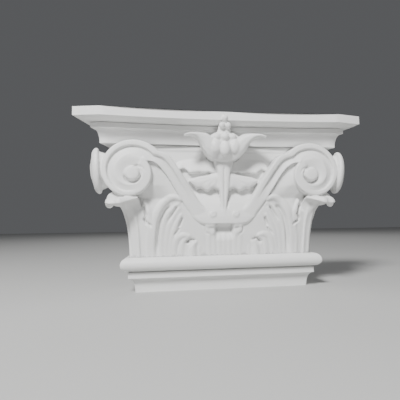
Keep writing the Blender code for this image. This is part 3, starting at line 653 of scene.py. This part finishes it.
def stalk(field):
    """Stalk of the flower: two ribs with a groove between them, widening under the bud, and a knob at its
    foot on each side."""
    edge = [(1.8, 84), (2.4, 92), (4.2, 105), (5.8, 117), (7.0, 132), (10.0, 147)]
    field.lobe(edge + [(-x, z) for x, z in reversed(edge)], 46.8, 49.8, 3.2, (0, 0.03))
    field.groove([(6.4, 112), (5.2, 106), (3.9, 98), (3.2, 90)], 1.3, 1.6, (0.3, 0.3))
    field.groove([(0, 86), (0, 100), (0, 120), (0, 142)], 1.4, 1.6, (0.2, 0.1))
    knob_x, knob_z = 13.0, 85.8
    field.lobe([(knob_x + 3.9 * math.cos(a), knob_z + 3.7 * math.sin(a)) for a in np.linspace(0, 5.5, 10)],
               48.6, 49.8, 2.2)
    field.hollow((knob_x, knob_z + 0.8), (2.2, 2.0), 0.6)


def front_relief(step=0.55):
    """The whole height field, over a panel that narrows with the bell, mirrored about the middle."""
    up = np.arange(PANEL_LOW, PANEL_HIGH, step)
    u = np.linspace(0, 1, int(100 / step))
    reach = np.interp(up, [PANEL_LOW, 90, 130, PANEL_HIGH], [96.5, 97.5, 101, 103])
    along = reach[:, None] * u[None, :]
    rise = np.broadcast_to(up[:, None], along.shape)
    field = Relief(along, rise, np.full(along.shape, PANEL_GROUND))
    for carve in (body, calyx, foot_leaf, low_leaf, side_leaf, upper_leaves, stalk):
        carve(field)
    half = np.stack([along, field.grid(), rise], axis=-1)
    front = np.concatenate([half[:, :0:-1] * [-1, 1, 1], half], axis=1)
    back = front.copy()
    back[..., 1] = PANEL_BACK
    front[..., 1] = np.maximum(front[..., 1], PANEL_GROUND)
    return slab(front, back)


def petal(count=90, wide=40):
    """Outer petal: a grid across three edge curves from under the bud out to a turned tip, raised by a
    squared sine across by a sine along. Its back goes down into the bell at first."""
    low = [(6, 54, 145.5), (14, 59, 147.5), (21, 61, 153), (26, 62, 160.5), (30, 64, 166.8), (35, 67, 170.2),
           (40, 69.5, 171), (45, 70, 170)]
    middle = [(6, 61, 155), (12, 64, 158), (17, 65, 163), (22, 65.5, 169), (28, 67, 172), (34, 69, 173),
              (40, 70.3, 172.6), (45.4, 70.5, 170.6)]
    high = [(8, 57, 162), (11.5, 60, 166), (15, 61, 171), (20, 61, 174.5), (27, 61.5, 175.6), (34, 64, 175),
            (40, 67, 173.8), (45, 69.5, 171.4)]
    front = leaf_face([low, middle, high], count, wide)
    u = np.linspace(0, 1, wide)[None, :]
    v = np.linspace(0, 1, count)[:, None]
    front[..., 1] += 1.3 * np.sin(2 * np.pi * u)**2 * np.sin(np.pi * v)**0.5
    back = front.copy()
    back[..., 1] = np.minimum(front[..., 1] - 4.5, np.linspace(28, 62, count)[:, None])
    return slab(front, back)


def spike():
    """Core that carries the berries, in front of the abacus: half ellipses of (height, half width, how far
    out), each closed at its back."""
    t = np.linspace(0, math.pi, 30)
    loops = []
    for z, half, out in ((150, 9, 56), (165, 10, 60), (178, 8, 59.5), (188, 5.5, 58.5), (195, 3.2, 57.5)):
        ring = np.stack([half * np.cos(t), out - 6 + 6 * np.sin(t), np.full(len(t), float(z))], axis=-1)
        loops.append(np.vstack([ring, [[-half, 26, z], [half, 26, z]]]))
    return lofted(np.array(loops))


def plan_set_in(plan, inward):
    """The plan moved inward at its front and ends, each corner along its mitre and each end along the
    wall."""
    side = np.diff(plan, axis=0)
    normal = np.stack([side[:, 1], -side[:, 0]], -1) / np.linalg.norm(side, axis=1, keepdims=True)
    a, b = normal[:-1], normal[1:]
    moved = plan.copy()
    moved[1:-1] -= inward * (a + b) / (1 + (a * b).sum(axis=1, keepdims=True))
    moved[[0, -1], 0] -= inward / normal[[0, -1], 0]
    return moved


def quarter(start, end, count, hollow):
    """Quarter of an ellipse between two profile points, bulging out or hollow."""
    t = np.linspace(0, math.pi / 2, count)
    (a, za), (b, zb) = start, end
    if hollow:
        return [(a + (b - a) * (1 - math.cos(s)), za + (zb - za) * math.sin(s)) for s in t]
    return [(a + (b - a) * math.sin(s), za + (zb - za) * (1 - math.cos(s))) for s in t]


def foot_lines(sizes):
    """Plan and profile of the foot: up from the underside a cove, a fillet, a neck and a half-round."""
    half, deep = sizes.shaft_width / 2 / MM, sizes.shaft_depth / MM
    plan = [(-half, 0), (-half, -deep), (half, -deep), (half, 0)]
    profile = [(0, 0)] + quarter((0, PLAIN_EDGE), (-COVE_FLARE, COVE_TOP), 14, True)
    profile += [(-FILLET_OUT, COVE_TOP + STEP), (-FILLET_OUT, FILLET_TOP), (-NECK_OUT, FILLET_TOP + STEP),
                (-NECK_OUT, NECK_TOP)]
    profile += [(-ROUND_OUT + ROUND_RADIUS * (1 - math.cos(s)), ROUND_MIDDLE + ROUND_RADIUS * math.sin(s))
                for s in np.radians(np.linspace(-78, 90, 22))]
    return plan, profile


def abacus_lines(sizes):
    """Plan and profile of the abacus. Its front is hollow by a parabola, its corners are cut and its sides
    turn in toward the wall. Up from its foot it has a cavetto, a band, a slot, an ovolo and a fascia."""
    half, deep, top = float(HIGH[0] - LOW[0]) / 2 / MM, sizes.depth / MM, float(HIGH[2]) / MM
    taper, low = sizes.side_taper / MM, sizes.abacus_foot / MM
    x = np.linspace(-1, 1, 41)
    front = np.column_stack([x * (half - CORNER_CUT), -(deep - FRONT_HOLLOW * (1 - x**2))])
    plan = np.vstack([[(taper - half, 0), (-half, CORNER_BACK - deep)], front,
                      [(half, CORNER_BACK - deep), (half - taper, 0)]])
    profile = [(CAVETTO_FOOT, low)]
    profile += quarter((CAVETTO_FOOT, low + PLAIN_EDGE), (CAVETTO_HEAD, low + CAVETTO_TOP), 14, True)
    profile += [(BAND_BACK, low + CAVETTO_TOP + STEP), (BAND_BACK, low + BAND_TOP),
                (SLOT_BACK, low + BAND_TOP + STEP), (SLOT_BACK, low + SLOT_TOP)]
    run, lean = OVOLO_FOOT - OVOLO_HEAD, 0.3 * OVOLO_SAG
    profile += [(OVOLO_FOOT - run * t - lean * math.sin(math.pi * t),
                 low + SLOT_TOP + OVOLO_RISE * t - OVOLO_SAG * math.sin(math.pi * t))
                for t in np.linspace(0, 1, 10)]
    profile += [(0.0, low + SLOT_TOP + OVOLO_RISE + STEP), (0.0, top)]
    return plan, profile


def moulding(name, plan, profile):
    """Crisp moulding: the plan set in by each profile point, in millimetres, then its edges rounded."""
    loops = []
    for inward, z in profile:
        ring = plan_set_in(np.asarray(plan, float), inward)
        loops.append(np.column_stack([ring[:, 0] * MM, WALL + ring[:, 1] * MM, np.full(len(ring), z * MM)]))
    obj = raw_object(name, [lofted(np.array(loops))], fit=False)
    shape = bmesh.new()
    shape.from_mesh(obj.data)
    bmesh.ops.remove_doubles(shape, verts=shape.verts, dist=1e-7)
    bmesh.ops.recalc_face_normals(shape, faces=shape.faces)
    shape.to_mesh(obj.data)
    shape.free()
    edge = obj.modifiers.new("round_off", "BEVEL")
    edge.width = ROUND_OFF * MM
    edge.segments = 2
    edge.limit_method = "ANGLE"
    edge.angle_limit = math.radians(28)
    edge.use_clamp_overlap = True
    return obj


def applied(obj):
    """The object's mesh with its modifiers applied."""
    graph = bpy.context.evaluated_depsgraph_get()
    mesh = bpy.data.meshes.new_from_object(obj.evaluated_get(graph))
    obj.modifiers.clear()
    old = obj.data
    obj.data = mesh
    bpy.data.meshes.remove(old)
    return mesh


class Socket:
    """A node socket whose sums and products add Math nodes."""

    def __init__(self, tree, socket):
        self.tree = tree
        self.socket = socket

    def node(self, kind, settings=None, values=None, output=0):
        """Add a node, set its settings, then its sockets by name or number, and return one output."""
        made = self.tree.nodes.new(kind)
        for key, value in (settings or {}).items():
            setattr(made, key, value)
        for key, value in (values or {}).items():
            if isinstance(value, Socket):
                self.tree.links.new(value.socket, made.inputs[key])
            else:
                made.inputs[key].default_value = value
        return Socket(self.tree, made.outputs[output])

    def maths(self, operation, a, b):
        """A Math node of an operation on two values."""
        return self.node("ShaderNodeMath", {"operation": operation}, {0: a, 1: b})

    def __add__(self, other):
        return self.maths("ADD", self, other)

    __radd__ = __add__

    def __mul__(self, other):
        return self.maths("MULTIPLY", self, other)

    __rmul__ = __mul__


def casting_finish():
    """White primed casting: a soft cloudy tint, painted shade that darkens the hollows, which are also
    rougher, with a fine brushed-on grain.
    """
    look = bpy.context.scene.capital_finish
    material = bpy.data.materials.new("primed casting")
    material.use_nodes = True
    tree = material.node_tree
    shader = tree.nodes["Principled BSDF"]
    place = Socket(tree, tree.nodes.new("ShaderNodeTexCoord").outputs["Object"])
    cloud = place.node("ShaderNodeTexNoise", values={"Vector": place, "Scale": CLOUD_SCALE, "Detail": 4.0})
    grain = place.node("ShaderNodeTexNoise", values={"Vector": place, "Scale": GRAIN_SCALE, "Detail": 3.0})
    ripple = place.node("ShaderNodeTexNoise", values={"Vector": place, "Scale": RIPPLE_SCALE, "Detail": 2.0})
    # Mask of the hollows, which paints shade into the colour and makes the roughness higher.
    hollow_shade_and_dull = place.node("ShaderNodeAttribute", {"attribute_name": "hollow"}, output="Fac")
    tint = tuple(c * CLOUD_TINT for c in look.colour)
    base = place.node("ShaderNodeMix", {"data_type": "RGBA"},
                      {"Factor": cloud, 6: (*look.colour, 1), 7: (*tint, 1)}, 2)
    # Painted shade: the colour is mixed toward the hollow colour in the hollows.
    colour = place.node("ShaderNodeMix", {"data_type": "RGBA"},
                        {"Factor": hollow_shade_and_dull, 6: base, 7: (*look.hollow, 1)}, 2)
    tree.links.new(colour.socket, shader.inputs["Base Color"])
    rough = look.roughness - 0.06 + cloud * ROUGH_CLOUD + hollow_shade_and_dull * ROUGH_HOLLOW
    tree.links.new(rough.socket, shader.inputs["Roughness"])
    bump = place.node("ShaderNodeBump", values={"Strength": 0.10, "Distance": BUMP_DEPTH,
                                                "Height": grain * 0.5 + ripple * 0.5})
    tree.links.new(bump.socket, shader.inputs["Normal"])
    shader.inputs["Metallic"].default_value = 0
    shader.inputs["Specular IOR Level"].default_value = 0.45
    return material


def mark_hollow_shade(mesh, reach=14, scale=0.0011):
    """Store how far each point lies below its surroundings: its offset along its normal from the mean of its
    neighbours, after that mean has spread reach times, as a share of scale. The finish paints shade into the
    colour by this value."""
    count = len(mesh.vertices)
    points = np.empty(count * 3, np.float32)
    mesh.vertices.foreach_get("co", points)
    points = points.reshape(-1, 3).astype(float)
    ends = np.empty(len(mesh.edges) * 2, np.int32)
    mesh.edges.foreach_get("vertices", ends)
    a, b = ends.reshape(-1, 2).T
    number = np.maximum(np.bincount(a, minlength=count) + np.bincount(b, minlength=count), 1)[:, None]
    mean = points.copy()
    for _ in range(reach):
        total = np.stack([np.bincount(a, mean[b, k], count) + np.bincount(b, mean[a, k], count)
                          for k in range(3)], axis=-1)
        mean = 0.5 * mean + 0.5 * total / number
    normal = np.empty(count * 3, np.float32)
    mesh.vertex_normals.foreach_get("vector", normal)
    depth = ((mean - points) * normal.reshape(-1, 3)).sum(axis=1)
    # Stored as the mask of the painted shade in the hollows.
    hollow = mesh.attributes.new("hollow", "FLOAT", "POINT")
    hollow.data.foreach_set("value", eased(depth / scale).astype(np.float32))


class PILASTER_OT_leaves(bpy.types.Operator):
    """Carve the bell, its leaves and the stalk"""

    bl_idname = "pilaster.leaves"
    bl_label = "Leaves"

    def execute(self, context):
        raw_object("raw_bell", [bell()])

        # The root fills the space behind the lip of the corner leaf, and the tip rounds its outer end.
        root = ball((113, 44, 104), (15, 10, 9))
        tip = ball((123.4, 54, 98), (4.2, 5.5, 5.0))
        raw_object("raw_leaves", [front_relief()] + both_sides([corner_leaf(), root, tip]))
        return {"FINISHED"}


class PILASTER_OT_scrolls(bpy.types.Operator):
    """Carve the stems, the corner scrolls and the side scrolls"""

    bl_idname = "pilaster.scrolls"
    bl_label = "Scrolls"

    def execute(self, context):
        # Two knobs on the outer edge of each side scroll.
        knobs = [ball((136.0, 57.0, z), (3.2, 4.0, 2.6)) for z in (142.0, 129.0)]
        raw_object("raw_scrolls", both_sides([scroll_disc(), stem(), side_scroll()] + knobs))
        return {"FINISHED"}


class PILASTER_OT_flower(bpy.types.Operator):
    """Carve the petals, the bud and the berries"""

    bl_idname = "pilaster.flower"
    bl_label = "Flower"

    def execute(self, context):
        bud = ball((0, 52.0, 162.0), (22.0, 11.0, 17.5), 60, 36)
        middle = [spike(), bud, ball((0, 62.0, 157.5), (6.2, 5.6, 8.4)),
                  ball((0, 61.8, 171.0), (4.5, 4.5, 4.5)), ball((0, 59.0, 193.0), (3.9, 3.9, 4.0))]
        pairs = [petal(), ball((10.8, 60.5, 160.5), (6.8, 5.6, 8.6)),
                 ball((8.8, 60.0, 171.3), (4.3, 4.3, 4.3)), ball((3.4, 61.0, 184.0), (3.5, 3.9, 3.7))]
        raw_object("raw_flower", middle + both_sides(pairs))
        return {"FINISHED"}


class PILASTER_OT_mouldings(bpy.types.Operator):
    """Run the mouldings of the foot and the abacus"""

    bl_idname = "pilaster.mouldings"
    bl_label = "Mouldings"

    def execute(self, context):
        sizes = context.scene.capital_sizes
        moulding("raw_foot", *foot_lines(sizes))
        moulding("raw_abacus", *abacus_lines(sizes))
        return {"FINISHED"}


class PILASTER_OT_casting(bpy.types.Operator):
    """Make one casting of all that is carved and moulded"""

    bl_idname = "pilaster.casting"
    bl_label = "Casting"

    def execute(self, context):
        sizes = context.scene.capital_sizes
        carved = [bpy.data.objects[name] for name in ("raw_bell", "raw_leaves", "raw_scrolls", "raw_flower")]
        join = bmesh.new()
        for obj in carved:
            join.from_mesh(obj.data)
        mesh = bpy.data.meshes.new("capital_casting")
        join.to_mesh(mesh)
        join.free()
        casting = bpy.data.objects.new("capital_casting", mesh)
        context.scene.collection.objects.link(casting)

        # One skin over all the carved shells, softened and thinned to the number of triangles asked for.
        skin = casting.modifiers.new("skin", "REMESH")
        skin.mode = "VOXEL"
        skin.voxel_size = sizes.voxel
        skin.adaptivity = 0
        soften = casting.modifiers.new("soften", "SMOOTH")
        soften.factor = 0.5
        soften.iterations = 3
        mesh = applied(casting)
        mesh.calc_loop_triangles()
        fewer = casting.modifiers.new("fewer", "DECIMATE")
        fewer.ratio = min(1.0, sizes.triangles / max(len(mesh.loop_triangles), 1))
        applied(casting)

        # The crisp mouldings are united with it.
        for name in ("raw_foot", "raw_abacus"):
            unite = casting.modifiers.new(name, "BOOLEAN")
            unite.operation = "UNION"
            unite.solver = "MANIFOLD"
            unite.object = bpy.data.objects[name]
        mesh = applied(casting)
        if not len(mesh.polygons):
            raise RuntimeError("the union of the carving and the mouldings came out empty")
        mesh.shade_smooth()
        mesh.set_sharp_from_angle(angle=math.radians(50))
        even = casting.modifiers.new("even", "WEIGHTED_NORMAL")
        even.keep_sharp = True
        mesh = applied(casting)
        mark_hollow_shade(mesh)
        mesh.materials.clear()
        mesh.materials.append(casting_finish())

        helpers = bpy.data.collections[RAW]
        for obj in list(helpers.objects):
            bpy.data.objects.remove(obj, do_unlink=True)
        bpy.data.collections.remove(helpers)
        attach(casting, "root")
        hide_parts("capital")
        return {"FINISHED"}


def area_light(name, place, target, size, power):
    """Soft round light that faces a target."""
    data = bpy.data.lights.new(name, "AREA")
    data.shape = "DISK"
    data.size = size
    data.energy = power
    lamp = bpy.data.objects.new(name, data)
    back = np.array(place, float) - target
    back /= np.linalg.norm(back)
    side = np.cross([0, 0, 1.0], back)
    side /= np.linalg.norm(side)
    turn = Matrix(np.stack([side, np.cross(back, side), back], axis=-1).tolist())
    lamp.matrix_world = Matrix.Translation(place) @ turn.to_4x4()
    bpy.context.scene.collection.objects.link(lamp)


class PILASTER_OT_stage(bpy.types.Operator):
    """Set the floor, the lights and the camera"""

    bl_idname = "pilaster.stage"
    bl_label = "Stage"

    def execute(self, context):
        scene = context.scene
        stage = scene.capital_stage
        side = FLOOR_HALF
        mesh = bpy.data.meshes.new("floor")
        corners = [(-side, -side, 0), (side, -side, 0), (side, side, 0), (-side, side, 0)]
        mesh.from_pydata(corners, [], [(0, 1, 2, 3)])
        floor = bpy.data.objects.new("floor", mesh)
        scene.collection.objects.link(floor)
        ground = bpy.data.materials.new("pale floor")
        ground.use_nodes = True
        shader = ground.node_tree.nodes["Principled BSDF"]
        shader.inputs["Base Color"].default_value = (*stage.floor, 1)
        shader.inputs["Roughness"].default_value = 0.9
        mesh.materials.append(ground)

        middle = np.array([0.0, 0.0, LIT_HEIGHT])
        for name, place, size, power in LIGHTS:
            area_light(name, place, middle, size, power)
        world = bpy.data.worlds.new("studio")
        world.use_nodes = True
        sky = world.node_tree.nodes["Background"]
        sky.inputs["Color"].default_value = SKY_COLOUR
        sky.inputs["Strength"].default_value = SKY_STRENGTH
        scene.world = world

        data = bpy.data.cameras.new("camera")
        data.sensor_width = 36.0
        data.lens = stage.lens
        data.shift_x = CAMERA_SHIFT
        camera = bpy.data.objects.new("camera", data)
        yaw, pitch, roll = (math.radians(angle) for angle in (CAMERA_TURN, CAMERA_TILT, CAMERA_ROLL))
        turn = Matrix.Rotation(yaw, 4, "Z") @ Matrix.Rotation(pitch, 4, "X") @ Matrix.Rotation(roll, 4, "Z")
        camera.matrix_world = Matrix.Translation((stage.aside, WALL - stage.distance, stage.rise)) @ turn
        scene.collection.objects.link(camera)
        scene.camera = camera
        return {"FINISHED"}


class PILASTER_PT_sidebar(bpy.types.Panel):
    """Capital tools in the sidebar"""

    bl_label = "Capital"
    bl_idname = "PILASTER_PT_sidebar"
    bl_space_type = "VIEW_3D"
    bl_region_type = "UI"
    bl_category = "Capital"

    def draw(self, context):
        for group in ("capital_sizes", "capital_finish", "capital_stage"):
            settings = getattr(context.scene, group)
            box = self.layout.box()
            for name in settings.__annotations__:
                box.prop(settings, name)
        for operator in OPERATORS:
            self.layout.operator(operator.bl_idname)


OPERATORS = (PILASTER_OT_leaves, PILASTER_OT_scrolls, PILASTER_OT_flower, PILASTER_OT_mouldings,
             PILASTER_OT_casting, PILASTER_OT_stage)
GROUPS = {"capital_sizes": CapitalSizes, "capital_finish": CapitalFinish, "capital_stage": CapitalStage}


def register():
    """Add the classes, and the sizes, finish and stage of the scene."""
    for kind in (*GROUPS.values(), *OPERATORS, PILASTER_PT_sidebar):
        bpy.utils.register_class(kind)
    for name, kind in GROUPS.items():
        setattr(bpy.types.Scene, name, bpy.props.PointerProperty(type=kind))


def unregister():
    """Take away what register() added."""
    for name in GROUPS:
        delattr(bpy.types.Scene, name)
    for kind in reversed((*GROUPS.values(), *OPERATORS, PILASTER_PT_sidebar)):
        bpy.utils.unregister_class(kind)


def main():
    """Build the capital and its stage."""
    register()
    for operator in OPERATORS:
        getattr(bpy.ops.pilaster, operator.bl_idname.split(".")[1])()


if __name__ == "__main__":
    main()
